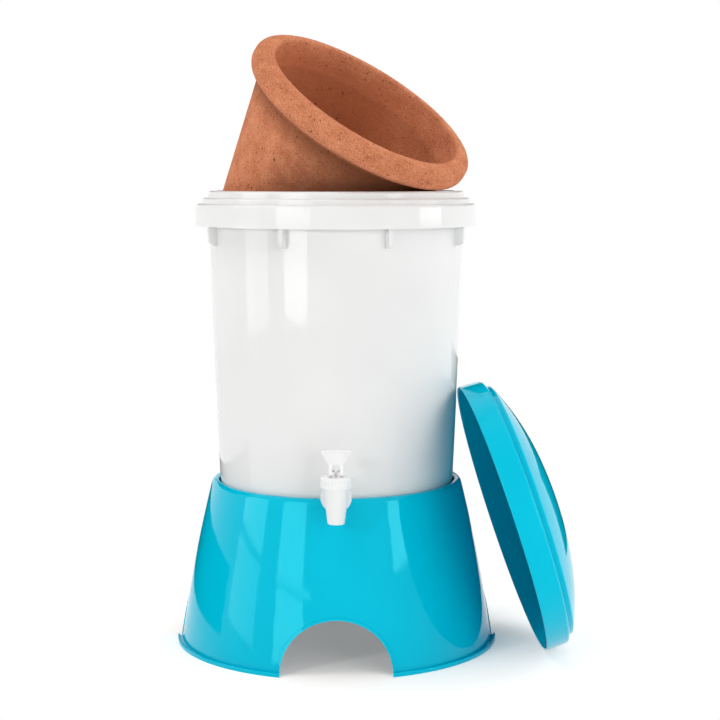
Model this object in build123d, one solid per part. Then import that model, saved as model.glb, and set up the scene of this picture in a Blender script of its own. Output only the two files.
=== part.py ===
from build123d import *
import os
from math import asin, cos, degrees, hypot, radians, sin, sqrt, tan

# Gravity water filter: a bucket with a lever tap stands in the socket of a round stand and
# carries a stepped support ring. The filter pot leans in the ring's mouth, and the lid stands
# on its edge on the floor, against the bucket.
# Millimetres, +Z up. The origin is on the floor on the stand's axis, and the tap faces -Y.

# ---- Stand ----
deck_z = 160.0  # top of the tray's deck, which carries the bucket
deck_t = 3.0
socket_depth = 33.0  # rim above the deck
stand_foot_r = 185.5  # outer wall at the floor
stand_rim_r = 147.4  # outer wall at the rim, before its shoulder is rounded
stand_bow = 2.5  # how far the wall swells outside a straight cone, halfway up
stand_wall = 3.0
stand_rim_t = 5.0  # solid depth of the rim, above the tray's wall
shoulder_round = 6.5
socket_lip_bevel = 1.2
socket_gap = 3.5  # tray's wall outside the bucket's foot
tray_wall = 3.0
foot_w = 5.3  # foot flange beyond the wall
foot_t = 2.5
foot_bead_w = 2.8
foot_bead_h = 2.0
foot_break = 3.0  # degrees between a rear arch and the end of the foot flange
arch_r = 63.0
arch_bead_w = 3.0
arch_bead_proud = 1.2
rear_arch_turn = 109.0  # degrees from the front arch
deck_rib_count = 12
deck_rib_h = 4.0
deck_rib_t = 2.5
deck_hub_r = 25.0
rib_bevel = 2.5  # cut off each rib's outer lower corner
notch_play = 1.0  # round the tap's boss, in the rim's front notch

# ---- Bucket ----
bucket_foot_r = 136.5
bucket_top_r = 148.9
bucket_h = 362.3
bucket_bow = 1.5
bucket_wall = 2.8
bucket_floor = 3.0
bucket_corner_round = 6.0
base_ring_w = 11.5  # width of the ring that the bucket stands on
base_recess = 1.2
flange_t = 3.0
flange_play = 0.3  # between the bucket's flange and the band over it
gusset_count = 8
gusset_h = 21.8
gusset_t = 4.5
gusset_inset = 3.4  # gusset's edge inside the flange's edge
gusset_round = 8.0

# ---- Support ring ----
ring_wall = 2.8
neck_over = 1.1  # neck's outer face beyond the bucket's top edge
ring_step_w = 7.25  # each step's width
neck_h = 7.9
step_h = 6.6
band_h = 26.1
ring_land_w = 11.5  # top land, from the mouth to the neck's outer face
mouth_lip_h = 13.0
band_round = 3.0
step_round = 2.5

# ---- Filter pot ----
pot_bearing = 2.0  # pot's rim beyond the ring's mouth, all round
pot_rim_h = 31.0
pot_rim_round = 12.0
pot_rim_over = 15.0  # rim beyond the body
pot_rim_fall = 4.0  # rim's top, lower at its outer edge than at the mouth
pot_land_w = 21.5  # rim's top, from the mouth to the outer face
pot_mouth_round = 5.0
pot_wall = 13.5
pot_len = 192.0
pot_taper = 11.86  # degrees
pot_base = 14.0
pot_neck_round = 3.0
pot_foot_round = 4.0
pot_inside_round = 12.0
pot_tilt = 36.8  # degrees from upright
pot_turn = -35.3  # degrees, the way that it leans, from +X
pot_aside = -9.0  # across the way that it leans
rest_gap = 0.3  # between pieces that can be lifted off each other

# ---- Lid ----
lid_play = 0.8  # between the lid's skirt and the ring's step
lid_wall = 2.6
lid_skirt_h = 28.0
lid_draft = 1.0
lid_skirt_round = 4.0
lid_edge_round = 1.1
groove_w = 1.2
groove_depth = 1.5
lid_shoulder_w = 8.0  # groove's inner side, inside the skirt's outer face
dome_side_h = 6.5  # the dome's edge above the skirt's top
dome_h = 30.5
dome_power = 2.5
dome_edge_round = 2.5
lid_lean = 17.6  # degrees that the lid's axis points up
lid_turn = 3.3  # degrees that the lid's axis turns from +X
lid_y = -55.0

# ---- Tap ----
tap_h = 37.0  # the shank's axis above the bucket's underside
disc_r = 17.3
disc_t = 3.0
disc_gap = 2.3  # behind the disc, to the stand's wall
boss_r = 12.0
shank_r = 8.0
shank_l = 23.0
shank_play = 0.3
inlet_r = 4.5
tap_neck_r = 10.0
barrel_reach = 19.0  # from the disc's face to the barrel's axis
barrel_up = 15.0  # barrel's shoulder above the shank's axis
barrel_down = 25.7
barrel_top_r = 14.25
barrel_end_r = 9.3
barrel_end_round = 1.5
collar_r = 13.9  # threaded collar inside the bonnet
collar_h = 7.2
chamber_r = 9.0
outlet_r = 5.5
seat_h = 12.7  # the valve seat's lower edge above the outlet's end
bonnet_r = 17.1
bonnet_h = 12.0
bonnet_top_t = 3.0
bonnet_round = 2.0
bonnet_play = 0.1
flute_count = 24
flute_r = 1.2
flute_depth = 0.35
gasket_t = 2.5
gasket_r = 12.5
gasket_gap = 0.05
nut_flat_r = 12.0
nut_h = 8.0
nut_flange_r = 13.5
nut_flange_t = 2.0
cup_wall = 1.0
cup_r = 7.2
cup_flange_r = 13.4
plug_h = 5.0
seat_gap = 0.1
stem_r = 1.4
stem_play = 0.08
stem_sunk = 3.0  # the stem's foot in the plug
stem_shoulder_r = 5.6
stem_shoulder_t = 1.5
eye_r = 3.2
eye_t = 3.2
pivot_up = 6.0  # lever's pivot above the bonnet
pin_r = 1.25
pin_play = 0.05
pin_inset = 0.3
spring_r = 4.9
spring_wire = 0.9
spring_turns = 5
cam_lift = 3.0  # stem's lift for each radian of the lever
cam_gap = 0.15
lever_swing = 50.0  # degrees
cam_spare = 5.0  # degrees of cam beyond the swing
sole_back = 4.0
lever_half_w = 8.0
leg_w = 3.7
leg_round = 1.5
paddle_up = 7.0  # paddle's lower edge above the pivot
paddle_h = 15.7
paddle_top_half_w = 17.7
paddle_t = 3.5
paddle_round = 1.6
border_w = 2.0
panel_depth = 0.9

# ---- Places that follow from the sizes above ----
rim_z = deck_z + socket_depth
rim_under_z = rim_z - stand_rim_t
deck_under_z = deck_z - deck_t
socket_r = bucket_foot_r + socket_gap
tray_r = socket_r + tray_wall
foot_r = stand_foot_r + foot_w
bucket_top_z = deck_z + bucket_h
neck_r = bucket_top_r + neck_over
step_r = neck_r + ring_step_w
band_r = step_r + ring_step_w
step_top_z = bucket_top_z + ring_wall
band_top_z = step_top_z - step_h
band_low_z = band_top_z - band_h
neck_top_z = step_top_z + neck_h
mouth_r = neck_r - ring_land_w
flange_r = band_r - ring_wall - flange_play
pot_rim_r = mouth_r + pot_bearing
pot_body_r = pot_rim_r - pot_rim_over
pot_foot_r = pot_body_r - (pot_len - pot_rim_h) * tan(radians(pot_taper))
lid_r = step_r + lid_play + lid_wall
tap_z = deck_z + tap_h


def bowed(low_r, high_r, bow, share):
    """Radius of a bowed wall at this share of its height."""
    return low_r + (high_r - low_r) * share + 4 * bow * share * (1 - share)


def stand_r(z):
    """The stand's outer radius at a height."""
    return bowed(stand_foot_r, stand_rim_r, stand_bow, z / rim_z)


def bucket_r(z):
    """The bucket's outer radius at a height."""
    return bowed(bucket_foot_r, bucket_top_r, bucket_bow, (z - deck_z) / bucket_h)


disc_back_y = -(stand_r(tap_z - disc_r) + disc_gap)
disc_face_y = disc_back_y - disc_t
barrel_y = disc_face_y - barrel_reach
boss_y = -(bucket_r(tap_z) + gasket_t)
shank_end_y = boss_y + shank_l
barrel_top_z = tap_z + barrel_up
outlet_z = tap_z - barrel_down
seat_z = outlet_z + seat_h
collar_top_z = barrel_top_z + collar_h
bonnet_top_z = barrel_top_z + bonnet_h
bonnet_under_z = bonnet_top_z - bonnet_top_t
plug_top_z = seat_z + plug_h
shoulder_top_z = plug_top_z + stem_shoulder_t
pivot_z = bonnet_top_z + pivot_up


# ---- Shared operations ----
def turned(face, axis_y=0.0):
    """A face drawn as (radius, height), turned about an upright axis."""
    solid = revolve(Plane.XZ * face, Axis.Z)
    return Pos(0, axis_y, 0) * solid


def outline(*points):
    """A straight-sided face."""
    return make_face(Polyline(*points, close=True))


def rounded(face, radius, *points):
    """The face with the corners nearest to these points rounded."""
    corners = [face.vertices().sort_by_distance(Vector(*point))[0] for point in points]
    return fillet(corners, radius)


def bar_y(radius, y_from, y_to):
    """A round bar along Y at the tap's height."""
    middle = Plane(origin=(0, (y_from + y_to) / 2, tap_z), z_dir=(0, 1, 0))
    return middle * Cylinder(radius, abs(y_to - y_from))


def outward(turn):
    """A plane on the floor whose Z points out from the axis, turned from the front."""
    aim = radians(turn - 90)
    return Plane(origin=(0, 0, 0), x_dir=(-sin(aim), cos(aim), 0), z_dir=(cos(aim), sin(aim), 0))


def round_tunnel(radius, turn, near, far):
    """A round bar lying on the floor, from one distance to another out from the axis."""
    bar = Cylinder(radius, far - near, align=(Align.CENTER, Align.CENTER, Align.MIN))
    return outward(turn) * Pos(0, 0, near) * bar


# ---- Stand ----
def stand_wall_section():
    """Section of the outer wall and the solid rim over it."""
    half_z = rim_z / 2
    inner_top = (stand_r(rim_under_z) - stand_wall, rim_under_z)
    inner_mid = (stand_r(rim_under_z / 2) - stand_wall, rim_under_z / 2)
    outer_wall = ThreePointArc(
        (stand_foot_r, 0), (stand_r(half_z), half_z), (stand_rim_r, rim_z)
    )
    rim = Polyline(
        (stand_rim_r, rim_z),
        (socket_r + socket_lip_bevel, rim_z),
        (socket_r, rim_z - socket_lip_bevel),
        (socket_r, rim_under_z),
        inner_top,
    )
    inner_wall = ThreePointArc(inner_top, inner_mid, (stand_foot_r - stand_wall, 0))
    sole = Line((stand_foot_r - stand_wall, 0), (stand_foot_r, 0))
    face = make_face([outer_wall, *rim.edges(), inner_wall, sole])
    return rounded(face, shoulder_round, (stand_rim_r, rim_z))


def foot_flange():
    """Flange round the foot with a raised bead on its edge, broken at the rear arches."""
    groove_r = foot_r - foot_bead_w
    face = outline(
        (stand_foot_r - stand_wall, 0),
        (foot_r, 0),
        (foot_r, foot_t + foot_bead_h),
        (groove_r, foot_t + foot_bead_h),
        (groove_r, foot_t),
        (stand_r(foot_t) - stand_wall / 2, foot_t),
    )
    bead_round = 0.45 * foot_bead_w
    face = rounded(face, bead_round, (foot_r, foot_t + foot_bead_h), (groove_r, foot_t + foot_bead_h))
    flange = turned(face)
    half_turn = degrees(asin(arch_r / stand_foot_r)) + foot_break
    for turn in (rear_arch_turn, -rear_arch_turn):
        from_axis = (Align.NONE, Align.NONE, Align.CENTER)
        sector = Cylinder(2 * foot_r, rim_z, arc_size=2 * half_turn, align=from_axis)
        flange -= Rot(0, 0, turn - 90 - half_turn) * sector
    return flange


def arch_bead(turn):
    """The raised edge of one arch, following the curved wall."""
    top_z = arch_r + arch_bead_w + 2 * arch_bead_proud
    half_z = top_z / 2
    inner = ThreePointArc(
        (stand_foot_r - stand_wall / 2, 0),
        (stand_r(half_z) - stand_wall / 2, half_z),
        (stand_r(top_z) - stand_wall / 2, top_z),
    )
    outer = ThreePointArc(
        (stand_foot_r + arch_bead_proud, 0),
        (stand_r(half_z) + arch_bead_proud, half_z),
        (stand_r(top_z) + arch_bead_proud, top_z),
    )
    skin = turned(make_face([inner, Line(inner @ 1, outer @ 1), outer, Line(outer @ 0, inner @ 0)]))
    near = stand_rim_r / 2
    hoop = round_tunnel(arch_r + arch_bead_w, turn, near, 2 * foot_r)
    return skin & hoop


def tap_notch():
    """Room for the tap's boss in the front of the rim and the tray's wall."""
    return bar_y(boss_r + notch_play, -socket_r + socket_gap, disc_back_y)


def stand():
    """Round stand: a flared wall with a solid rim, arches and a foot flange."""
    body = turned(stand_wall_section()) + foot_flange()
    arch_turns = (0, rear_arch_turn, -rear_arch_turn)
    for turn in arch_turns:
        body += arch_bead(turn)
    for turn in arch_turns:
        body -= round_tunnel(arch_r, turn, stand_rim_r / 2, 2 * foot_r)
    return body - tap_notch()


# ---- Tray in the stand ----
def deck_ribs():
    """Radial ribs under the deck, from a hub to the tray's edge."""
    low_z = deck_under_z - deck_rib_h
    top_z = deck_z - deck_t / 2
    height = top_z - low_z
    hub = Cylinder(deck_hub_r, height) - Cylinder(deck_hub_r - deck_rib_t, height)
    ribs = [Pos(0, 0, (low_z + top_z) / 2) * hub]
    root_r = deck_hub_r - deck_rib_t / 2
    edge_r = tray_r - tray_wall / 2
    face = outline(
        (root_r, low_z),
        (edge_r - rib_bevel, low_z),
        (edge_r, low_z + rib_bevel),
        (edge_r, top_z),
        (root_r, top_z),
    )
    rib = extrude(Plane.XZ * face, deck_rib_t / 2, both=True)
    for step in range(deck_rib_count):
        ribs.append(Rot(0, 0, 360 * (step + 0.5) / deck_rib_count) * rib)
    return ribs


def stand_tray():
    """Tray under the rim: the wall round the bucket's foot and the ribbed deck under it."""
    tray = turned(
        outline(
            (0, deck_under_z),
            (tray_r, deck_under_z),
            (tray_r, rim_under_z),
            (socket_r, rim_under_z),
            (socket_r, deck_z),
            (0, deck_z),
        )
    )
    for rib in deck_ribs():
        tray += rib
    return tray - tap_notch()


# ---- Bucket ----
def bucket_bulk(inset, floor, corner_round):
    """Everything inside the bucket's wall, with the wall's face moved inwards by inset."""
    low_z = deck_z + floor
    half_z = (low_z + bucket_top_z) / 2
    low = (bucket_r(low_z) - inset, low_z)
    top = (bucket_top_r - inset, bucket_top_z)
    wall = ThreePointArc(low, (bucket_r(half_z) - inset, half_z), top)
    rest = Polyline(top, (0, bucket_top_z), (0, low_z), low)
    face = rounded(make_face([wall, *rest.edges()]), corner_round, low)
    return turned(face)


def bucket_flange():
    """Flange on the bucket's wall under the band, with its gussets."""
    wall_r = bucket_r(band_low_z) - bucket_wall / 2
    flange = turned(
        outline(
            (wall_r, band_low_z),
            (flange_r, band_low_z),
            (flange_r, band_low_z + flange_t),
            (wall_r, band_low_z + flange_t),
        )
    )
    low_z = band_low_z - gusset_h
    edge_r = flange_r - gusset_inset
    root_r = bucket_r(low_z) - bucket_wall / 2
    face = outline(
        (root_r, low_z), (edge_r, low_z), (edge_r, band_low_z), (root_r, band_low_z)
    )
    face = rounded(face, gusset_round, (edge_r, low_z))
    gusset = extrude(Plane.XZ * face, gusset_t / 2, both=True)
    for step in range(gusset_count):
        flange += Rot(0, 0, 360 * (step + 0.5) / gusset_count) * gusset
    return flange - bucket_bulk(0, 0, bucket_corner_round)


def bucket():
    """Tapered water bucket with a hole for the tap."""
    inner_round = max(bucket_corner_round - bucket_wall, 0.5)
    shell = bucket_bulk(0, 0, bucket_corner_round)
    shell -= bucket_bulk(bucket_wall, bucket_floor, inner_round)
    recess = Cylinder(bucket_foot_r - base_ring_w, base_recess)
    shell -= Pos(0, 0, deck_z + base_recess / 2) * recess
    return shell - bar_y(shank_r + shank_play, shank_end_y, boss_y)


# ---- Support ring ----
def support_ring():
    """Stepped ring that sits on the bucket's top edge and carries the pot."""
    neck_in = neck_r - ring_wall
    step_in = step_r - ring_wall
    band_in = band_r - ring_wall
    mouth_out = mouth_r + ring_wall
    face = outline(
        (band_r, band_low_z),
        (band_r, band_top_z),
        (step_r, band_top_z),
        (step_r, step_top_z),
        (neck_r, step_top_z),
        (neck_r, neck_top_z),
        (mouth_r, neck_top_z),
        (mouth_r, neck_top_z - mouth_lip_h),
        (mouth_out, neck_top_z - mouth_lip_h),
        (mouth_out, neck_top_z - ring_wall),
        (neck_in, neck_top_z - ring_wall),
        (neck_in, step_top_z - ring_wall),
        (step_in, step_top_z - ring_wall),
        (step_in, band_top_z - ring_wall),
        (band_in, band_top_z - ring_wall),
        (band_in, band_low_z),
    )
    face = rounded(face, band_round, (band_r, band_top_z))
    face = rounded(face, step_round, (step_r, step_top_z), (neck_r, neck_top_z), (mouth_r, neck_top_z))
    return turned(face)


# ---- Filter pot ----
def upright_pot():
    """The pot on its own axis, with the rim's top at height 0."""
    taper = tan(radians(pot_taper))
    pot_mouth_r = pot_rim_r - pot_land_w
    throat_r = pot_body_r - pot_wall
    floor_z = pot_base - pot_len
    floor_r = throat_r + (floor_z + pot_rim_h) * taper
    face = outline(
        (0, -pot_len),
        (pot_foot_r, -pot_len),
        (pot_body_r, -pot_rim_h),
        (pot_rim_r, -pot_rim_h),
        (pot_rim_r, -pot_rim_fall),
        (pot_mouth_r, 0),
        (throat_r, -pot_rim_h),
        (floor_r, floor_z),
        (0, floor_z),
    )
    face = rounded(face, pot_rim_round, (pot_rim_r, -pot_rim_h), (pot_rim_r, -pot_rim_fall))
    face = rounded(face, pot_neck_round, (pot_body_r, -pot_rim_h))
    face = rounded(face, pot_mouth_round, (pot_mouth_r, 0))
    face = rounded(face, pot_foot_round, (pot_foot_r, -pot_len))
    face = rounded(face, pot_inside_round, (floor_r, floor_z), (throat_r, -pot_rim_h))
    return turned(face)


def pot_foot_reach(along, height):
    """How far from the axis the leaning pot's foot circle goes below the ring's top."""
    tilt, turn = radians(pot_tilt), radians(pot_turn)
    reach = 0.0
    for step in range(360):
        spin = radians(step)
        out = along - pot_len * sin(tilt) + pot_foot_r * cos(spin) * cos(tilt)
        aside = pot_aside + pot_foot_r * sin(spin)
        z = height - pot_len * cos(tilt) - pot_foot_r * cos(spin) * sin(tilt)
        if z < neck_top_z:
            reach = max(reach, hypot(out, aside))
    return reach


def pot_place():
    """Plane of the leaning pot's rim: its low side on the ring's land, its foot in the mouth."""
    tilt, turn = radians(pot_tilt), radians(pot_turn)
    edge_r = pot_rim_r - pot_rim_round
    edge_h = pot_rim_h - pot_rim_round
    height = neck_top_z + rest_gap + edge_h * cos(tilt) + edge_r * sin(tilt) + pot_rim_round
    near, far = 0.0, pot_len
    for _ in range(30):
        along = (near + far) / 2
        if pot_foot_reach(along, height) > mouth_r - rest_gap:
            near = along
        else:
            far = along
    x = far * cos(turn) - pot_aside * sin(turn)
    y = far * sin(turn) + pot_aside * cos(turn)
    up = (sin(tilt) * cos(turn), sin(tilt) * sin(turn), cos(tilt))
    low_side = (cos(tilt) * cos(turn), cos(tilt) * sin(turn), -sin(tilt))
    return Plane(origin=(x, y, height), x_dir=low_side, z_dir=up)


def filter_pot():
    """Clay filter pot, leaning in the ring's mouth."""
    return pot_place() * upright_pot()


# ---- Lid ----
def dome_line(edge_r, base_h, rise):
    """The dome's curve, from its edge to the axis."""
    shares = [1.0, 0.86, 0.68, 0.48, 0.26, 0.0]
    points = [(edge_r * s, base_h + rise * (1 - s**dome_power)) for s in shares]
    slope = (-1, dome_power * rise / edge_r)
    return Spline(*points, tangents=[slope, (-1, 0)])


def upright_lid():
    """The lid on its own axis, with its mouth at height 0."""
    top_r = lid_r - lid_draft
    side_r = lid_r - lid_shoulder_w - groove_w
    dome_base = lid_skirt_h + dome_side_h
    shelf_h = lid_skirt_h - groove_depth - lid_wall
    inner_side_r = side_r - lid_wall
    outer_dome = dome_line(side_r, dome_base, dome_h)
    inner_dome = dome_line(inner_side_r, dome_base - lid_wall, dome_h)
    skirt = Polyline(
        (lid_r - lid_wall, 0),
        (lid_r, 0),
        (top_r, lid_skirt_h),
        (side_r + groove_w, lid_skirt_h),
        (side_r + groove_w, lid_skirt_h - groove_depth),
        (side_r, lid_skirt_h - groove_depth),
        (side_r, dome_base),
    )
    inside = Polyline(
        (inner_side_r, dome_base - lid_wall),
        (inner_side_r, shelf_h),
        (lid_r - lid_wall, shelf_h),
        (lid_r - lid_wall, 0),
    )
    crown = Line(outer_dome @ 1, inner_dome @ 1)
    face = make_face([*skirt.edges(), outer_dome, crown, inner_dome, *inside.edges()])
    face = rounded(face, lid_skirt_round, (top_r, lid_skirt_h))
    face = rounded(face, dome_edge_round, (side_r, dome_base))
    face = rounded(face, lid_edge_round, (lid_r, 0), (lid_r - lid_wall, 0))
    return turned(face)


def wall_clearance(centre_x, centre_z):
    """Least distance from the standing lid's mouth edge to the bucket and the stand."""
    lean, turn = radians(lid_lean), radians(lid_turn)
    least = 2 * lid_r
    for step in range(720):
        spin = radians(step / 2)
        across, up = lid_r * cos(spin), lid_r * sin(spin)
        x = centre_x - across * sin(turn) - up * sin(lean) * cos(turn)
        y = lid_y + across * cos(turn) - up * sin(lean) * sin(turn)
        z = centre_z + up * cos(lean)
        wall_r = stand_r(z) if z < rim_z else bucket_r(z)
        least = min(least, hypot(x, y) - wall_r)
    return least


def lid_place():
    """Plane of the standing lid's mouth: its edge on the floor and against the bucket."""
    lean, turn = radians(lid_lean), radians(lid_turn)
    edge_r = lid_r - lid_edge_round
    centre_z = edge_r * cos(lean) - lid_edge_round * sin(lean) + lid_edge_round
    near, far = 0.0, 3 * lid_r
    for _ in range(30):
        centre_x = (near + far) / 2
        if wall_clearance(centre_x, centre_z) < rest_gap:
            near = centre_x
        else:
            far = centre_x
    axis = (cos(lean) * cos(turn), cos(lean) * sin(turn), sin(lean))
    return Plane(origin=(far, lid_y, centre_z), x_dir=(-sin(turn), cos(turn), 0), z_dir=axis)


def lid():
    """Domed lid, standing on its edge against the bucket."""
    return lid_place() * upright_lid()


# ---- Tap ----
def tap_body():
    """Barrel, disc, boss and shank in one moulding, bored from the shank to the outlet."""
    barrel = outline(
        (0, outlet_z),
        (barrel_end_r, outlet_z),
        (barrel_top_r, barrel_top_z),
        (collar_r, barrel_top_z),
        (collar_r, collar_top_z),
        (0, collar_top_z),
    )
    barrel = rounded(barrel, barrel_end_round, (barrel_end_r, outlet_z))
    seat_rise = chamber_r - outlet_r
    waterway = outline(
        (0, outlet_z),
        (outlet_r, outlet_z),
        (outlet_r, seat_z),
        (chamber_r, seat_z + seat_rise),
        (chamber_r, collar_top_z),
        (0, collar_top_z),
    )
    body = turned(barrel, barrel_y)
    body += bar_y(tap_neck_r, barrel_y, disc_face_y)
    body += bar_y(disc_r, disc_face_y, disc_back_y)
    body += bar_y(boss_r, disc_back_y, boss_y)
    body += bar_y(shank_r, boss_y, shank_end_y)
    body -= turned(waterway, barrel_y)
    return body - bar_y(inlet_r, barrel_y, shank_end_y)


def tap_bonnet():
    """Fluted cap that holds the seat cup and the spring down."""
    face = outline(
        (0, barrel_top_z), (bonnet_r, barrel_top_z), (bonnet_r, bonnet_top_z), (0, bonnet_top_z)
    )
    face = rounded(face, bonnet_round, (bonnet_r, bonnet_top_z))
    cap = turned(face, barrel_y)
    room = Cylinder(collar_r + bonnet_play, bonnet_h - bonnet_top_t)
    cap -= Pos(0, barrel_y, (barrel_top_z + bonnet_under_z) / 2) * room
    cap -= Pos(0, barrel_y, bonnet_top_z) * Cylinder(stem_r + stem_play, 3 * bonnet_top_t)
    flute_centre = bonnet_r + flute_r - flute_depth
    for step in range(flute_count):
        turn = Rot(0, 0, 360 * step / flute_count)
        flute = turn * Pos(flute_centre, 0, 0) * Cylinder(flute_r, 4 * bonnet_h)
        cap -= Pos(0, barrel_y, bonnet_top_z) * flute
    return cap


def tap_seat_cup():
    """Soft cup: a flange under the bonnet, a sleeve and the plug that closes the seat."""
    inner_r = cup_r - cup_wall
    plug_low_r = outlet_r - seat_gap * sqrt(2)
    face = outline(
        (0, seat_z),
        (plug_low_r, seat_z),
        (cup_r, seat_z + cup_r - plug_low_r),
        (cup_r, collar_top_z),
        (cup_flange_r, collar_top_z),
        (cup_flange_r, bonnet_under_z),
        (inner_r, bonnet_under_z),
        (inner_r, plug_top_z),
        (stem_r, plug_top_z),
        (stem_r, plug_top_z - stem_sunk),
        (0, plug_top_z - stem_sunk),
    )
    return turned(face, barrel_y)


def tap_stem():
    """Stem with a shoulder for the spring and an eye for the lever's pin."""
    rod = outline(
        (0, plug_top_z - stem_sunk),
        (stem_r, plug_top_z - stem_sunk),
        (stem_r, plug_top_z),
        (stem_shoulder_r, plug_top_z),
        (stem_shoulder_r, shoulder_top_z),
        (stem_r, shoulder_top_z),
        (stem_r, pivot_z),
        (0, pivot_z),
    )
    across = Plane(origin=(0, barrel_y, pivot_z), z_dir=(1, 0, 0))
    stem = turned(rod, barrel_y) + across * Cylinder(eye_r, eye_t)
    return stem - across * Cylinder(pin_r + pin_play, 4 * eye_r)


def tap_spring():
    """Coil spring between the stem's shoulder and the bonnet."""
    wire_r = spring_wire / 2
    height = bonnet_under_z - shoulder_top_z - spring_wire
    coil = Helix(height / spring_turns, height, spring_r)
    coil = Pos(0, barrel_y, shoulder_top_z + wire_r) * coil
    start = Plane(origin=coil @ 0, z_dir=coil % 0)
    return sweep(start * Circle(wire_r), path=coil)


def cam_line(pivot_h):
    """The cam's curve as (y, z) from the pivot: its support height grows evenly with the turn."""
    points, ends = [], []
    steps = 4
    for step in range(steps + 1):
        turn = radians((lever_swing + cam_spare) * step / steps)
        height = pivot_h + cam_lift * turn
        down = (-sin(turn), -cos(turn))
        along = (-cos(turn), sin(turn))
        points.append((height * down[0] + cam_lift * along[0], height * down[1] + cam_lift * along[1]))
        ends.append(along)
    return Spline(*points, tangents=[ends[0], ends[-1]])


def lever_leg():
    """Side plate of the lever, drawn as (y, z) from the pivot, with the cam as its foot."""
    pivot_h = pivot_up - cam_gap
    cam = cam_line(pivot_h)
    nose = cam @ 1
    half_t = paddle_t / 2
    back = Polyline(
        (nose.X, nose.Y),
        (nose.X, eye_r / 2),
        (-half_t, paddle_up),
        (-half_t, paddle_up + border_w),
        (half_t, paddle_up + border_w),
        (half_t, paddle_up),
        (sole_back, eye_r / 2),
        (sole_back, -pivot_h),
        (-cam_lift, -pivot_h),
    )
    face = make_face([cam, *back.edges()])
    face = rounded(face, leg_round, (nose.X, eye_r / 2), (sole_back, eye_r / 2), (sole_back, -pivot_h))
    return face - Circle(pin_r + pin_play / 2)


def tap_lever():
    """Lever with two cam-footed legs and a paddle with a raised border."""
    side = Plane(origin=(0, barrel_y, pivot_z), x_dir=(0, 1, 0), z_dir=(1, 0, 0))
    leg = extrude(side * lever_leg(), leg_w)
    inner_x = lever_half_w - leg_w
    legs = Pos(inner_x, 0, 0) * leg + Pos(-lever_half_w, 0, 0) * leg
    low_z = pivot_z + paddle_up
    high_z = low_z + paddle_h
    face = outline(
        (-lever_half_w, low_z),
        (lever_half_w, low_z),
        (paddle_top_half_w, high_z),
        (-paddle_top_half_w, high_z),
    )
    face = rounded(face, paddle_round, (paddle_top_half_w, high_z), (-paddle_top_half_w, high_z))
    front = Plane(origin=(0, barrel_y - paddle_t / 2, 0), x_dir=(1, 0, 0), z_dir=(0, -1, 0))
    paddle = extrude(front * face, -paddle_t)
    panel = front * offset(face, -border_w, kind=Kind.INTERSECTION)
    return legs + (paddle - extrude(panel, -panel_depth))


def tap_lever_pin():
    """Pin through the lever's legs and the stem's eye."""
    across = Plane(origin=(0, barrel_y, pivot_z), z_dir=(1, 0, 0))
    return across * Cylinder(pin_r, 2 * (lever_half_w - pin_inset))


def tap_outer_gasket():
    """Gasket between the boss and the bucket's outer face."""
    ring = bar_y(gasket_r - gasket_gap, boss_y + gasket_gap, shank_end_y)
    ring &= bar_y(boss_r, boss_y, boss_y + 2 * gasket_t)
    ring -= bar_y(shank_r + gasket_gap, boss_y, shank_end_y)
    return ring - bucket_bulk(-gasket_gap, 0, bucket_corner_round)


def tap_inner_gasket():
    """Gasket between the bucket's inner face and the nut."""
    nut_face_y = -(bucket_r(tap_z) - bucket_wall) + gasket_t
    ring = bar_y(gasket_r, boss_y, nut_face_y) - bar_y(shank_r + gasket_gap, boss_y, shank_end_y)
    inside = bucket_bulk(bucket_wall + gasket_gap, bucket_floor, bucket_corner_round)
    return ring & inside


def tap_lock_nut():
    """Flanged nut on the shank, inside the bucket."""
    face_y = -(bucket_r(tap_z) - bucket_wall) + gasket_t
    start = Plane(origin=(0, face_y, tap_z), x_dir=(1, 0, 0), z_dir=(0, 1, 0))
    flats = RegularPolygon(nut_flat_r, 6, major_radius=False)
    nut = extrude(start * flats, nut_h) + bar_y(nut_flange_r, face_y, face_y + nut_flange_t)
    return nut - bar_y(shank_r + gasket_gap, face_y - nut_h, face_y + 2 * nut_h)


# ---- Every piece, one file each ----
pieces = {
    "stand": stand,
    "stand_tray": stand_tray,
    "bucket": bucket,
    "bucket_flange": bucket_flange,
    "support_ring": support_ring,
    "filter_pot": filter_pot,
    "lid": lid,
    "tap_body": tap_body,
    "tap_bonnet": tap_bonnet,
    "tap_lever": tap_lever,
    "tap_lever_pin": tap_lever_pin,
    "tap_stem": tap_stem,
    "tap_spring": tap_spring,
    "tap_seat_cup": tap_seat_cup,
    "tap_outer_gasket": tap_outer_gasket,
    "tap_inner_gasket": tap_inner_gasket,
    "tap_lock_nut": tap_lock_nut,
}
os.makedirs("parts", exist_ok=True)
for name, make in pieces.items():
    export_step(make(), f"parts/{name}.step")
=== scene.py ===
import math

import bmesh
import bpy
from mathutils import Matrix, Vector


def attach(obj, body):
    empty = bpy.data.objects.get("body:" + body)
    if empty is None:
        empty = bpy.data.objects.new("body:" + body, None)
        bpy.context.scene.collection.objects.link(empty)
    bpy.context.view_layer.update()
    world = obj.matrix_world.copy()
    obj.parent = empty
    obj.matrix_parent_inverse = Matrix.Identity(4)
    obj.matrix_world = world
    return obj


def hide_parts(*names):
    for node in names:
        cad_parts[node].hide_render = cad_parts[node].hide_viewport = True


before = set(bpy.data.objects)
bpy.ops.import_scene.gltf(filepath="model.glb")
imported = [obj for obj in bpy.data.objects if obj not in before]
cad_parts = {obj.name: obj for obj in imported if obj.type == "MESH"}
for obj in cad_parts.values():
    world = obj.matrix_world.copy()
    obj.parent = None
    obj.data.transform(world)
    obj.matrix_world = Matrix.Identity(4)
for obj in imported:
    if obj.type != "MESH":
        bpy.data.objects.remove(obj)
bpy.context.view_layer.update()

# Gravity water filter with a tap. Lengths are in metres, noise scales in waves a metre.

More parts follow.
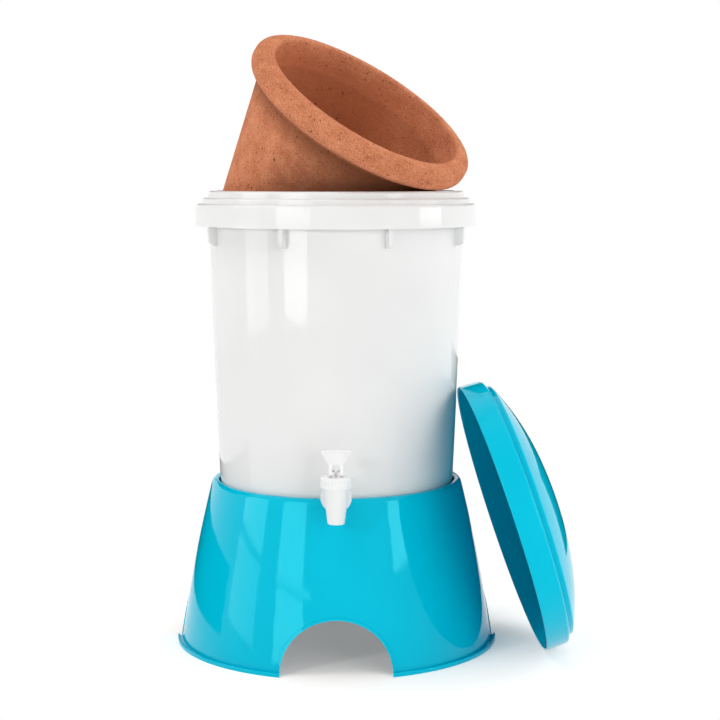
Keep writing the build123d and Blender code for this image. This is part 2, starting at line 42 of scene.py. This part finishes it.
# ---- The leaning pot: its axis, and the middle of its mouth ----
POT_TILT = math.radians(36.8)
POT_TURN = math.radians(-35.3)
POT_ORIGIN = Vector((0.037104, -0.037299, 0.637488))
TILT_SIN, TILT_COS = math.sin(POT_TILT), math.cos(POT_TILT)
TURN_SIN, TURN_COS = math.sin(POT_TURN), math.cos(POT_TURN)
POT_UP = Vector((TILT_SIN * TURN_COS, TILT_SIN * TURN_SIN, TILT_COS))
POT_LOW_SIDE = Vector((TILT_COS * TURN_COS, TILT_COS * TURN_SIN, -TILT_SIN))
POT_PLACE = Matrix((POT_LOW_SIDE, POT_UP.cross(POT_LOW_SIDE), POT_UP)).transposed().to_4x4()
POT_PLACE.translation = POT_ORIGIN

# Its section: radii, and depths below the mouth
POT_RIM_R = 0.1405
POT_BODY_R = 0.1255
POT_FOOT_R = 0.09169
POT_MOUTH_R = 0.1190
POT_THROAT_R = 0.1120
POT_FLOOR_R = 0.08129
POT_RIM_H = 0.031
POT_RIM_FALL = 0.004
POT_LEN = 0.192
POT_FLOOR_H = 0.178

# Radii of its corners
FOOT_ROUND = 0.004
NECK_ROUND = 0.003
RIM_ROUND = 0.012
LIP_ROUND = 0.005
THROAT_ROUND = 0.012
FLOOR_ROUND = 0.012

# How finely it is turned
TURNED_STEP = 0.0026
TURNED_STRIPS = 300
CORNER_LEAST_STEPS = 4

# Its worn surface
CLAY_RELIEF = {
    "Wave depth": 0.0007,
    "Wave scale": 14.0,
    "Grit depth": 0.0005,
    "Grit scale": 150.0,
    "Pit depth": 0.0040,
    "Pit scale": 60.0,
    "Pit width": 0.26,
    "Pit share": 0.08,
}
RELIEF_WAVE_DETAIL = 2.0
RELIEF_GRIT_DETAIL = 4.0
RELIEF_PIT_LEAST_WIDTH = 0.35

# ---- Plastics, clay and small parts, as linear colour ----
TURQUOISE = (0.0, 0.505, 0.690)
TURQUOISE_SHEEN = (0.18, 1, 1)
BUCKET_WHITE = (0.810, 0.805, 0.798)
TAP_WHITE = (0.850, 0.848, 0.845)
CLAY_LIGHT = (0.720, 0.290, 0.150)
CLAY_MID = (0.510, 0.160, 0.072)
CLAY_DARK = (0.280, 0.070, 0.026)
# Painted shade: the pot's inside is painted darker, most on the side away from the low side
CLAY_INSIDE_SHADE = (0.440, 0.135, 0.056)
CLAY_DUST = (0.830, 0.430, 0.260)
# Painted shade deep down inside the pot
CLAY_DEEP_SHADE = (0.150, 0.032, 0.010)
# Painted shadow on the pot's outside, under the rim
CLAY_SHADOW = (0.130, 0.040, 0.016)
CLAY_SPECK = (0.060, 0.018, 0.008)
SILICONE_GREY = (0.78, 0.78, 0.76)
SPRING_STEEL = (0.60, 0.60, 0.62)

# ---- Moulded plastic: scale and detail of each noise, height and strength of each bump ----
PLASTIC_FLOW = (7.0, 2.0)
PLASTIC_FLOW_ENDS = (0.35, 0.65)
PLASTIC_FLOW_SHADE = 0.96
PLASTIC_GLOSS = (28.0, 6.0)
PLASTIC_GLOSS_RANGE = (0.8, 1.35)
PLASTIC_WAVES = (16.0, 1.0)
PLASTIC_WAVE_BUMP = (0.0006, 0.2)
PLASTIC_PEEL = (900.0, 2.0)
PLASTIC_PEEL_BUMP = (0.00003, 0.2)

# ---- Small tap parts: the noise in their gloss ----
SMALL_PART_GLOSS = (400.0, 3.0)
SMALL_PART_GLOSS_RANGE = (0.8, 1.3)

# Between these noise values a gloss goes from its least to its most
GLOSS_ENDS = (0.3, 0.7)

# ---- Fired clay ----
CLAY_ROUGHNESS = 0.92
CLAY_SPECULAR = 0.12
CLAY_MOTTLE = (45.0, 9.0, 0.7)
CLAY_FINE = (800.0, 4.0, 0.7)
CLAY_SPECKLE = (330.0, 2.0)
CLAY_LUMPS = (240.0, 4.0)
CLAY_LUMP_BUMP = (0.0006, 0.6)
CLAY_STROKE_BUMP = (0.0005, 0.6)
CLAY_GRAIN = (1500.0, 3.0)
CLAY_GRAIN_BUMP = (0.0002, 0.7)
BRUSH_SCALE = 900.0
BRUSH_DETAIL = 5.0
BRUSH_DRIFT = 0.06
CLAY_MOTTLE_STOPS = [(0.16, CLAY_DARK), (0.46, CLAY_MID), (0.76, CLAY_LIGHT)]

# Each coat of clay colour: where it begins, where it is whole, and its greatest share.
# These four go by the noise.
BRUSH_COAT = (0.35, 0.65, 0.4)
DARK_COAT = (0.50, 0.34, 0.55)
DUST_COAT = (0.50, 0.66, 0.45)
SPECK_COAT = (0.65, 0.72, 0.8)
# These go by the depth inside the wall's middle, the height from the mouth or the way across.
# These coats paint shade: the inside darker, darker still deep down and away from the low side, and
# painted shadow outside under the rim, most on the low side.
INNER_COAT = (0.0, 0.004, 0.75)
BELOW_LIP = (-0.006, -0.022, 1.0)
SHADED_SIDE = (0.06, -0.05, 1.0)
DEEP_SHADE_COAT = (-0.03, -0.15, 0.7)
BELOW_RIM = (-0.030, -0.036, 1.0)
LOW_SIDE_SHADOW = (-0.01, 0.10, 0.85)
UNDER_RIM_SHADE = (-0.060, -0.031, 0.75)
# The middle of the wall: its radius at the mouth, and how fast that grows with height
WALL_MOUTH_R = 0.1253
WALL_FLARE = 0.21

# ---- Camera: angles in degrees, lens and sensor in millimetres ----
CAMERA_PLACE = (0.008, -2.0, 0.552)
CAMERA_DOWN = 6.26
CAMERA_TURN = -0.57
CAMERA_LENS = 84.75
CAMERA_SENSOR = 36.0

# ---- Lamps: degrees left of the front, distance, height, width, tallness, watts, target ----
MIDDLE_AIM = (0, 0, 0.3)
LOW_AIM = (0.08, -0.1, 0.2)
LAMPS = [
    ("key_lamp", 44, 2.2, 0.8, 0.2, 0.3, 9, MIDDLE_AIM),
    ("fill_lamp", -54, 2.4, 1.2, 1.2, 1.6, 8, MIDDLE_AIM),
    ("front_lamp", -34, 2.4, 0.7, 0.8, 0.8, 8, MIDDLE_AIM),
    ("low_lamp", -28, 1.0, 0.2, 0.3, 0.3, 0.5, LOW_AIM),
    ("top_lamp", 60, 1.1, 2.3, 0.9, 0.9, 14, MIDDLE_AIM),
    ("back_lamp", -150, 1.2, 2.2, 0.9, 0.9, 9, MIDDLE_AIM),
    ("left_side_lamp", 108, 2.2, 0.9, 1.2, 1.6, 7, MIDDLE_AIM),
    ("right_side_lamp", -108, 2.2, 1.5, 1.2, 1.6, 18, MIDDLE_AIM),
]

# ---- Cards: degrees left of the front, distance, lowest, highest, width, glow ----
# Out at 2.8 m, what is under 0.4 m shows in the bucket, what is near 0.45 m in the ring,
# and what is over 0.47 m in the stand. A flag has no glow and keeps the white world out.
CARDS = [
    ("bucket_window", 35.5, 2.8, 0.0, 0.40, 1.04, 5.5),
    ("ring_window", 33.4, 2.8, 0.425, 0.47, 1.38, 5.0),
    ("stand_window", 36.5, 2.8, 0.47, 1.75, 1.04, 5.5),
    ("left_wall", 75, 2.8, 0.48, 1.6, 1.25, 4.5),
    ("left_wall_low", 75, 2.8, 0.0, 0.42, 1.25, 3.1),
    ("ring_glint", -79, 2.0, 0.44, 0.49, 0.78, 5.0),
    ("stand_streak", -52, 2.8, 0.48, 1.8, 0.64, 6.5),
    ("left_flag", 142, 2.0, 0.82, 2.4, 3.2, 0.0),
    ("right_flag", -142, 2.0, 0.82, 2.4, 3.2, 0.0),
    ("low_flag", 128, 0.5, 0.0, 0.13, 0.95, 0.0),
    ("back_flag", -160, 0.8, 0.0, 0.25, 0.9, 0.0),
]

# ---- Floor and world ----
WORLD_LIGHT = 0.49
WHITE = (1, 1, 1)
FLOOR_REACH = 12.0
FLOOR_FADE = (0.19, 0.42)
FLOOR_NEAR = (0.95, 0.93, 0.91)
FLOOR_GLOW = (0.25, 0.225, 0.21)
FLOOR_UNSEEN = (0.86, 0.86, 0.86)


# ---- Small tools ----
def placed(name, data):
    """A new object in the scene."""
    made = bpy.data.objects.new(name, data)
    bpy.context.scene.collection.objects.link(made)
    return made


def shader(name):
    """A new material, its node tree and its shader."""
    material = bpy.data.materials.new(name)
    material.use_nodes = True
    return material, material.node_tree, material.node_tree.nodes["Principled BSDF"]


def bare_material(name):
    """A new material with nothing but its output, and the socket there."""
    material = bpy.data.materials.new(name)
    material.use_nodes = True
    tree = material.node_tree
    tree.nodes.clear()
    return material, tree, tree.nodes.new("ShaderNodeOutputMaterial").inputs["Surface"]


def surface_place(tree):
    """The object's own coordinates."""
    return tree.nodes.new("ShaderNodeTexCoord").outputs["Object"]


def noise_node(tree, scale, detail, roughness=0.5):
    """Noise on the object's own coordinates."""
    texture = tree.nodes.new("ShaderNodeTexNoise")
    tree.links.new(surface_place(tree), texture.inputs["Vector"])
    texture.inputs["Scale"].default_value = scale
    texture.inputs["Detail"].default_value = detail
    texture.inputs["Roughness"].default_value = roughness
    return texture.outputs["Fac"]


def math_node(tree, operation, first, second=None):
    """One step of arithmetic on links or numbers."""
    node = tree.nodes.new("ShaderNodeMath")
    node.operation = operation
    for slot, value in ((0, first), (1, second)):
        if value is None:
            continue
        if isinstance(value, (int, float)):
            node.inputs[slot].default_value = value
        else:
            tree.links.new(value, node.inputs[slot])
    return node.outputs[0]


def product(tree, first, second):
    """Two values multiplied."""
    return math_node(tree, "MULTIPLY", first, second)


def spread(tree, source, ends, results):
    """Map a value from between two ends to between two results."""
    node = tree.nodes.new("ShaderNodeMapRange")
    node.inputs["From Min"].default_value, node.inputs["From Max"].default_value = ends
    node.inputs["To Min"].default_value, node.inputs["To Max"].default_value = results
    tree.links.new(source, node.inputs["Value"])
    return node.outputs["Result"]


def ramp(tree, source, stops):
    """A colour ramp with (position, colour) stops."""
    node = tree.nodes.new("ShaderNodeValToRGB")
    elements = node.color_ramp.elements
    while len(elements) < len(stops):
        elements.new(0.5)
    for element, (position, colour) in zip(elements, stops):
        element.position = position
        element.color = (*colour, 1.0)
    tree.links.new(source, node.inputs["Fac"])
    return node.outputs["Color"]


def mixed(tree, factor, ground, coat):
    """A coat of one colour over a ground."""
    node = tree.nodes.new("ShaderNodeMix")
    node.data_type = "RGBA"
    share, below, above = node.inputs[0], node.inputs[6], node.inputs[7]
    tree.links.new(factor, share)
    tree.links.new(ground, below)
    above.default_value = (*coat, 1)
    return node.outputs[2]


def bump(tree, height, distance, strength, under=None):
    """A bump over the one under it."""
    node = tree.nodes.new("ShaderNodeBump")
    node.inputs["Distance"].default_value = distance
    node.inputs["Strength"].default_value = strength
    tree.links.new(height, node.inputs["Height"])
    if under:
        tree.links.new(under, node.inputs["Normal"])
    return node.outputs["Normal"]


def uneven_gloss(tree, noise, roughness, reach):
    """A roughness that wanders over the surface, by shares of its own value."""
    least, most = reach
    return spread(tree, noise_node(tree, *noise), GLOSS_ENDS, (roughness * least, roughness * most))


# ---- Finishes ----
def moulded_plastic(name, colour, roughness, specular, sheen=WHITE):
    """Glossy moulded plastic: faint flow waves, fine orange peel and uneven gloss."""
    material, tree, main = shader(name)
    main.inputs["Specular IOR Level"].default_value = specular
    main.inputs["Specular Tint"].default_value = (*sheen, 1)
    shade = tuple(c * PLASTIC_FLOW_SHADE for c in colour)
    flow = noise_node(tree, *PLASTIC_FLOW)
    body = ramp(tree, flow, list(zip(PLASTIC_FLOW_ENDS, (shade, colour))))
    tree.links.new(body, main.inputs["Base Color"])
    gloss = uneven_gloss(tree, PLASTIC_GLOSS, roughness, PLASTIC_GLOSS_RANGE)
    tree.links.new(gloss, main.inputs["Roughness"])
    waves = bump(tree, noise_node(tree, *PLASTIC_WAVES), *PLASTIC_WAVE_BUMP)
    peel = bump(tree, noise_node(tree, *PLASTIC_PEEL), *PLASTIC_PEEL_BUMP, waves)
    tree.links.new(peel, main.inputs["Normal"])
    return material


def small_part(name, colour, roughness, metallic=0.0):
    """A small tap part's finish, with a fine grain."""
    material, tree, main = shader(name)
    main.inputs["Base Color"].default_value = (*colour, 1.0)
    main.inputs["Metallic"].default_value = metallic
    gloss = uneven_gloss(tree, SMALL_PART_GLOSS, roughness, SMALL_PART_GLOSS_RANGE)
    tree.links.new(gloss, main.inputs["Roughness"])
    return material


def pot_coordinates(tree):
    """Distance from the pot's axis, height along it, and the way towards its low side."""
    mapping = tree.nodes.new("ShaderNodeMapping")
    mapping.vector_type = "TEXTURE"
    mapping.inputs["Location"].default_value = POT_ORIGIN
    mapping.inputs["Rotation"].default_value = POT_PLACE.to_euler()
    tree.links.new(surface_place(tree), mapping.inputs["Vector"])
    split = tree.nodes.new("ShaderNodeSeparateXYZ")
    tree.links.new(mapping.outputs["Vector"], split.inputs[0])
    across, along, height = split.outputs
    squares = [math_node(tree, "POWER", side, 2.0) for side in (across, along)]
    radius = math_node(tree, "SQRT", math_node(tree, "ADD", *squares))
    return radius, height, across


def brush_marks(tree, radius, height, across):
    """Noise drawn out round the pot's axis, as a potter's brush leaves it."""
    joined = tree.nodes.new("ShaderNodeCombineXYZ")
    tree.links.new(radius, joined.inputs[0])
    tree.links.new(height, joined.inputs[1])
    tree.links.new(product(tree, across, BRUSH_DRIFT), joined.inputs[2])
    texture = tree.nodes.new("ShaderNodeTexNoise")
    texture.inputs["Scale"].default_value = BRUSH_SCALE
    texture.inputs["Detail"].default_value = BRUSH_DETAIL
    tree.links.new(joined.outputs[0], texture.inputs["Vector"])
    return texture.outputs["Fac"]


def coat_share(tree, source, coat):
    """How much of a coat shows: none where it begins, its greatest share where it is whole."""
    begins, whole, greatest = coat
    return spread(tree, source, (begins, whole), (0.0, greatest))


def clay_ground(tree, brushed):
    """Mottled clay with brushed streaks, and grit that is dark or dusty."""
    base = ramp(tree, noise_node(tree, *CLAY_MOTTLE), CLAY_MOTTLE_STOPS)
    base = mixed(tree, coat_share(tree, brushed, BRUSH_COAT), base, CLAY_LIGHT)
    fine = noise_node(tree, *CLAY_FINE)
    base = mixed(tree, coat_share(tree, fine, DARK_COAT), base, CLAY_DARK)
    return mixed(tree, coat_share(tree, fine, DUST_COAT), base, CLAY_DUST)


def clay_painted_shade(tree, base, radius, height, across):
    """Painted shade: a darker inside, darkest deep down and away from the low side, and painted
    shadow outside under the rim, most on the low side.
    """
    wall_middle = math_node(tree, "ADD", product(tree, height, WALL_FLARE), WALL_MOUTH_R)
    inner_depth = math_node(tree, "SUBTRACT", wall_middle, radius)
    inside = coat_share(tree, inner_depth, INNER_COAT)
    inside = product(tree, inside, coat_share(tree, height, BELOW_LIP))
    # Painted shade: the inside darker, most on the side away from the low side
    inside_shade = product(tree, inside, coat_share(tree, across, SHADED_SIDE))
    base = mixed(tree, inside_shade, base, CLAY_INSIDE_SHADE)
    # Painted shade: darker still deep down inside the pot
    deep = product(tree, coat_share(tree, height, DEEP_SHADE_COAT), inside_shade)
    base = mixed(tree, deep, base, CLAY_DEEP_SHADE)
    outside = math_node(tree, "SUBTRACT", 1.0, inside)
    # Painted shadow outside under the rim: most on the low side and close under the rim
    below_rim = coat_share(tree, height, BELOW_RIM)
    for source, coat in ((across, LOW_SIDE_SHADOW), (height, UNDER_RIM_SHADE)):
        shadowed = product(tree, coat_share(tree, source, coat), below_rim)
        base = mixed(tree, product(tree, shadowed, outside), base, CLAY_SHADOW)
    return base


def fired_clay():
    """Unglazed clay: mottled, brushed, gritty and dusty, with dark specks, painted shade inside and
    painted shadow under the rim.
    """
    material, tree, main = shader("fired_clay")
    main.inputs["Roughness"].default_value = CLAY_ROUGHNESS
    main.inputs["Specular IOR Level"].default_value = CLAY_SPECULAR
    radius, height, across = pot_coordinates(tree)
    brushed = brush_marks(tree, radius, height, across)
    base = clay_painted_shade(tree, clay_ground(tree, brushed), radius, height, across)
    specks = coat_share(tree, noise_node(tree, *CLAY_SPECKLE), SPECK_COAT)
    tree.links.new(mixed(tree, specks, base, CLAY_SPECK), main.inputs["Base Color"])
    lumps = bump(tree, noise_node(tree, *CLAY_LUMPS), *CLAY_LUMP_BUMP)
    strokes = bump(tree, brushed, *CLAY_STROKE_BUMP, lumps)
    grain = bump(tree, noise_node(tree, *CLAY_GRAIN), *CLAY_GRAIN_BUMP, strokes)
    tree.links.new(grain, main.inputs["Normal"])
    return material


turquoise = moulded_plastic(
    "turquoise_plastic", TURQUOISE, roughness=0.05, specular=0.32, sheen=TURQUOISE_SHEEN
)
bucket_white = moulded_plastic("bucket_white", BUCKET_WHITE, roughness=0.05, specular=0.34)
tap_white = moulded_plastic("tap_white", TAP_WHITE, roughness=0.28, specular=0.35)
clay = fired_clay()
silicone = small_part("silicone", SILICONE_GREY, roughness=0.5)
steel = small_part("spring_steel", SPRING_STEEL, roughness=0.25, metallic=1.0)

# Every node that isn't named here is the tap's white plastic
FINISH = {
    "stand": turquoise,
    "stand_tray": turquoise,
    "lid": turquoise,
    "bucket": bucket_white,
    "bucket_flange": bucket_white,
    "support_ring": bucket_white,
    "filter_pot": clay,
    "tap_seat_cup": silicone,
    "tap_outer_gasket": silicone,
    "tap_inner_gasket": silicone,
    "tap_spring": steel,
    "tap_lever_pin": steel,
}
for node_name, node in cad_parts.items():
    node.data.materials.clear()
    node.data.materials.append(FINISH.get(node_name, tap_white))


# ---- Clay pot: a turned body with a worked surface ----
def arc_corner(before, corner, after, radius, step):
    """Points of a round corner, as many as the step asks for."""
    back = (Vector(before) - Vector(corner)).normalized()
    ahead = (Vector(after) - Vector(corner)).normalized()
    half = back.angle(ahead) / 2
    reach = radius / math.tan(half)
    middle = Vector(corner) + (back + ahead).normalized() * radius / math.sin(half)
    start = Vector(corner) + back * reach - middle
    end = Vector(corner) + ahead * reach - middle
    count = max(CORNER_LEAST_STEPS, int(radius * (math.pi - 2 * half) / step))
    points = []
    for index in range(count + 1):
        turn = start.normalized().slerp(end.normalized(), index / count)
        points.append(middle + turn * radius)
    return points


def resampled(points, step):
    """The same line with points no further apart than the step."""
    line = [points[0]]
    for point in points[1:]:
        start = line[-1].copy()
        span = point - start
        count = max(1, math.ceil(span.length / step))
        line.extend(start + span * (index + 1) / count for index in range(count))
    return line


def pot_section(step):
    """The pot's outline from the axis underneath to the axis inside."""
    corners = [
        ((0, -POT_LEN), 0),
        ((POT_FOOT_R, -POT_LEN), FOOT_ROUND),
        ((POT_BODY_R, -POT_RIM_H), NECK_ROUND),
        ((POT_RIM_R, -POT_RIM_H), RIM_ROUND),
        ((POT_RIM_R, -POT_RIM_FALL), RIM_ROUND),
        ((POT_MOUTH_R, 0), LIP_ROUND),
        ((POT_THROAT_R, -POT_RIM_H), THROAT_ROUND),
        ((POT_FLOOR_R, -POT_FLOOR_H), FLOOR_ROUND),
        ((0, -POT_FLOOR_H), 0),
    ]
    points = []
    for index, (corner, radius) in enumerate(corners):
        if radius == 0:
            points.append(Vector(corner))
            continue
        before, after = corners[index - 1][0], corners[index + 1][0]
        points.extend(arc_corner(before, corner, after, radius, step))
    return resampled(points, step)


def turned_mesh(name, section, count):
    """A closed turned body; the section starts and ends on the axis."""
    build = bmesh.new()
    turns = [2 * math.pi * index / count for index in range(count)]
    rings = []
    for point in section[1:-1]:
        places = [(point.x * math.cos(turn), point.x * math.sin(turn), point.y) for turn in turns]
        rings.append([build.verts.new(place) for place in places])
    low = build.verts.new((0, 0, section[0].y))
    high = build.verts.new((0, 0, section[-1].y))
    for index in range(count):
        after = (index + 1) % count
        build.faces.new((low, rings[0][after], rings[0][index]))
        for lower, upper in zip(rings, rings[1:]):
            build.faces.new((lower[index], lower[after], upper[after], upper[index]))
        build.faces.new((high, rings[-1][index], rings[-1][after]))
    build.normal_update()
    mesh = bpy.data.meshes.new(name)
    build.to_mesh(mesh)
    build.free()
    mesh.shade_smooth()
    return mesh


def noise_depth(group, place, scale, depth, detail):
    """How deep noise of a scale and a greatest depth wears the clay."""
    noise = group.nodes.new("ShaderNodeTexNoise")
    noise.inputs["Detail"].default_value = detail
    group.links.new(place, noise.inputs["Vector"])
    group.links.new(scale, noise.inputs["Scale"])
    return product(group, noise.outputs["Fac"], depth)


def pit_depth(group, place, inputs):
    """Scattered round pits: a share of the cells has one, each of its own width."""
    cells = group.nodes.new("ShaderNodeTexVoronoi")
    group.links.new(place, cells.inputs["Vector"])
    group.links.new(inputs["Pit scale"], cells.inputs["Scale"])
    draws = group.nodes.new("ShaderNodeSeparateXYZ")
    group.links.new(cells.outputs["Color"], draws.inputs[0])
    picked = math_node(group, "LESS_THAN", draws.outputs[0], inputs["Pit share"])
    own_width = math_node(group, "ADD", draws.outputs[1], RELIEF_PIT_LEAST_WIDTH)
    width = product(group, inputs["Pit width"], own_width)
    near = math_node(group, "DIVIDE", cells.outputs["Distance"], width)
    slope = math_node(group, "MINIMUM", math_node(group, "POWER", near, 2.0), 1.0)
    hollow = math_node(group, "SUBTRACT", 1.0, slope)
    return product(group, product(group, hollow, picked), inputs["Pit depth"])


def relief_group():
    """Geometry Nodes that wear a surface inwards: waves, grit and scattered pits."""
    group = bpy.data.node_groups.new("clay_relief", "GeometryNodeTree")
    sockets = [("Geometry", "INPUT", "NodeSocketGeometry")]
    sockets += [(name, "INPUT", "NodeSocketFloat") for name in CLAY_RELIEF]
    sockets += [("Clay", "INPUT", "NodeSocketMaterial")]
    sockets += [("Geometry", "OUTPUT", "NodeSocketGeometry")]
    for name, in_out, kind in sockets:
        group.interface.new_socket(name, in_out=in_out, socket_type=kind)
    inputs = group.nodes.new("NodeGroupInput").outputs
    end = group.nodes.new("NodeGroupOutput")
    place = group.nodes.new("GeometryNodeInputPosition").outputs[0]
    normal = group.nodes.new("GeometryNodeInputNormal").outputs[0]
    pit = pit_depth(group, place, inputs)
    wave = noise_depth(group, place, inputs["Wave scale"], inputs["Wave depth"], RELIEF_WAVE_DETAIL)
    grit = noise_depth(group, place, inputs["Grit scale"], inputs["Grit depth"], RELIEF_GRIT_DETAIL)
    depth = math_node(group, "ADD", math_node(group, "ADD", wave, grit), pit)
    offset = group.nodes.new("ShaderNodeVectorMath")
    offset.operation = "SCALE"
    group.links.new(normal, offset.inputs[0])
    group.links.new(product(group, depth, -1.0), offset.inputs["Scale"])
    move = group.nodes.new("GeometryNodeSetPosition")
    group.links.new(inputs["Geometry"], move.inputs["Geometry"])
    group.links.new(offset.outputs[0], move.inputs["Offset"])
    whole = group.nodes.new("GeometryNodeRealizeInstances")
    group.links.new(move.outputs[0], whole.inputs[0])
    paint = group.nodes.new("GeometryNodeSetMaterial")
    group.links.new(whole.outputs[0], paint.inputs["Geometry"])
    group.links.new(inputs["Clay"], paint.inputs["Material"])
    group.links.new(paint.outputs[0], end.inputs[0])
    return group


def worked_pot():
    """The filter pot with its worn clay surface."""
    mesh = turned_mesh("pot_blank", pot_section(TURNED_STEP), TURNED_STRIPS)
    mesh.transform(POT_PLACE)
    blank = placed("pot_blank", mesh)
    group = relief_group()
    modifier = blank.modifiers.new("relief", "NODES")
    modifier.node_group = group
    settings = {**CLAY_RELIEF, "Clay": clay}
    for item in group.interface.items_tree:
        if item.in_out == "INPUT" and item.name in settings:
            modifier[item.identifier] = settings[item.name]
    bpy.context.view_layer.update()
    worn = blank.evaluated_get(bpy.context.evaluated_depsgraph_get())
    made = bpy.data.meshes.new_from_object(worn)
    bpy.data.objects.remove(blank)
    made.shade_smooth()
    pot = placed("clay_pot", made)
    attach(pot, "pot")
    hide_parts("filter_pot")


worked_pot()

# ---- Camera: it looks a little down, and a little to one side ----
camera_data = bpy.data.cameras.new("camera")
camera_data.lens = CAMERA_LENS
camera_data.sensor_width = CAMERA_SENSOR
camera = placed("camera", camera_data)
camera.location = CAMERA_PLACE
camera.rotation_euler = (math.radians(90 - CAMERA_DOWN), 0, math.radians(CAMERA_TURN))
bpy.context.scene.camera = camera


# ---- Studio ----
def area_lamp(name, azimuth, distance, height, width, tall, power, aim):
    """A soft panel that lights the object and doesn't show in its gloss."""
    turn = math.radians(azimuth)
    data = bpy.data.lights.new(name, "AREA")
    data.shape = "RECTANGLE"
    data.size, data.size_y = width, tall
    data.energy = power
    place = Vector((-math.sin(turn) * distance, -math.cos(turn) * distance, height))
    lamp = placed(name, data)
    lamp.location = place
    lamp.rotation_euler = (Vector(aim) - place).to_track_quat("-Z", "Y").to_euler()
    lamp.visible_glossy = False


def glow_node(tree, strength, colour=WHITE):
    """A glowing surface."""
    glow = tree.nodes.new("ShaderNodeEmission")
    glow.inputs["Color"].default_value = (*colour, 1)
    glow.inputs["Strength"].default_value = strength
    return glow.outputs[0]


def matt_node(tree, colour):
    """A matt surface."""
    matt = tree.nodes.new("ShaderNodeBsdfDiffuse")
    matt.inputs["Color"].default_value = (*colour, 1)
    return matt.outputs[0]


def blended(tree, factor, first, second):
    """Two surfaces, the second one shown by the factor."""
    node = tree.nodes.new("ShaderNodeMixShader")
    for slot, link in enumerate((factor, first, second)):
        tree.links.new(link, node.inputs[slot])
    return node.outputs[0]


def flat_panel(name, corners, material):
    """One flat face with four corners."""
    mesh = bpy.data.meshes.new(name)
    mesh.from_pydata(corners, [], [(0, 1, 2, 3)])
    mesh.materials.append(material)
    return placed(name, mesh)


def reflected_card(name, azimuth, distance, low, high, width, strength):
    """An upright card that shows only in the object's gloss."""
    material, tree, out = bare_material(name)
    tree.links.new(glow_node(tree, strength), out)
    half = width / 2
    corners = [(-half, 0, low), (half, 0, low), (half, 0, high), (-half, 0, high)]
    card = flat_panel(name, corners, material)
    turn = Matrix.Rotation(-math.radians(azimuth), 4, "Z")
    card.matrix_world = turn @ Matrix.Translation((0, -distance, 0))
    card.visible_camera = False
    card.visible_diffuse = False
    card.visible_shadow = False
    card.visible_transmission = False


def seen_rays(tree):
    """One on rays that show the background, also in gloss, and nought on those that light."""
    path = tree.nodes.new("ShaderNodeLightPath").outputs
    seen = math_node(tree, "MAXIMUM", path["Is Camera Ray"], path["Is Glossy Ray"])
    return math_node(tree, "MAXIMUM", seen, path["Is Transmission Ray"])


def white_world(level):
    """White where it is seen, and a plain level of light on the object."""
    world = bpy.data.worlds.new("studio")
    bpy.context.scene.world = world
    world.use_nodes = True
    tree = world.node_tree
    back = tree.nodes["Background"]
    back.inputs["Color"].default_value = (*WHITE, 1)
    strength = spread(tree, seen_rays(tree), (0.0, 1.0), (level, 1.0))
    tree.links.new(strength, back.inputs["Strength"])


def studio_floor(reach):
    """White floor that keeps the soft shadow near the object and turns plain white beyond."""
    material, tree, out = bare_material("floor")
    near = tree.nodes.new("ShaderNodeAddShader")
    tree.links.new(matt_node(tree, FLOOR_NEAR), near.inputs[0])
    tree.links.new(glow_node(tree, 1.0, FLOOR_GLOW), near.inputs[1])
    distance = tree.nodes.new("ShaderNodeVectorMath")
    distance.operation = "LENGTH"
    tree.links.new(surface_place(tree), distance.inputs[0])
    beyond = spread(tree, distance.outputs["Value"], FLOOR_FADE, (0.0, 1.0))
    faded = blended(tree, beyond, near.outputs[0], glow_node(tree, 1.0))
    unseen = matt_node(tree, FLOOR_UNSEEN)
    tree.links.new(blended(tree, seen_rays(tree), unseen, faded), out)
    corners = [(-reach, -reach, 0), (reach, -reach, 0), (reach, reach, 0), (-reach, reach, 0)]
    floor = flat_panel("floor", corners, material)


for lamp_facts in LAMPS:
    area_lamp(*lamp_facts)
for card_facts in CARDS:
    reflected_card(*card_facts)
white_world(WORLD_LIGHT)
studio_floor(FLOOR_REACH)
bpy.context.scene.view_settings.view_transform = "Standard"
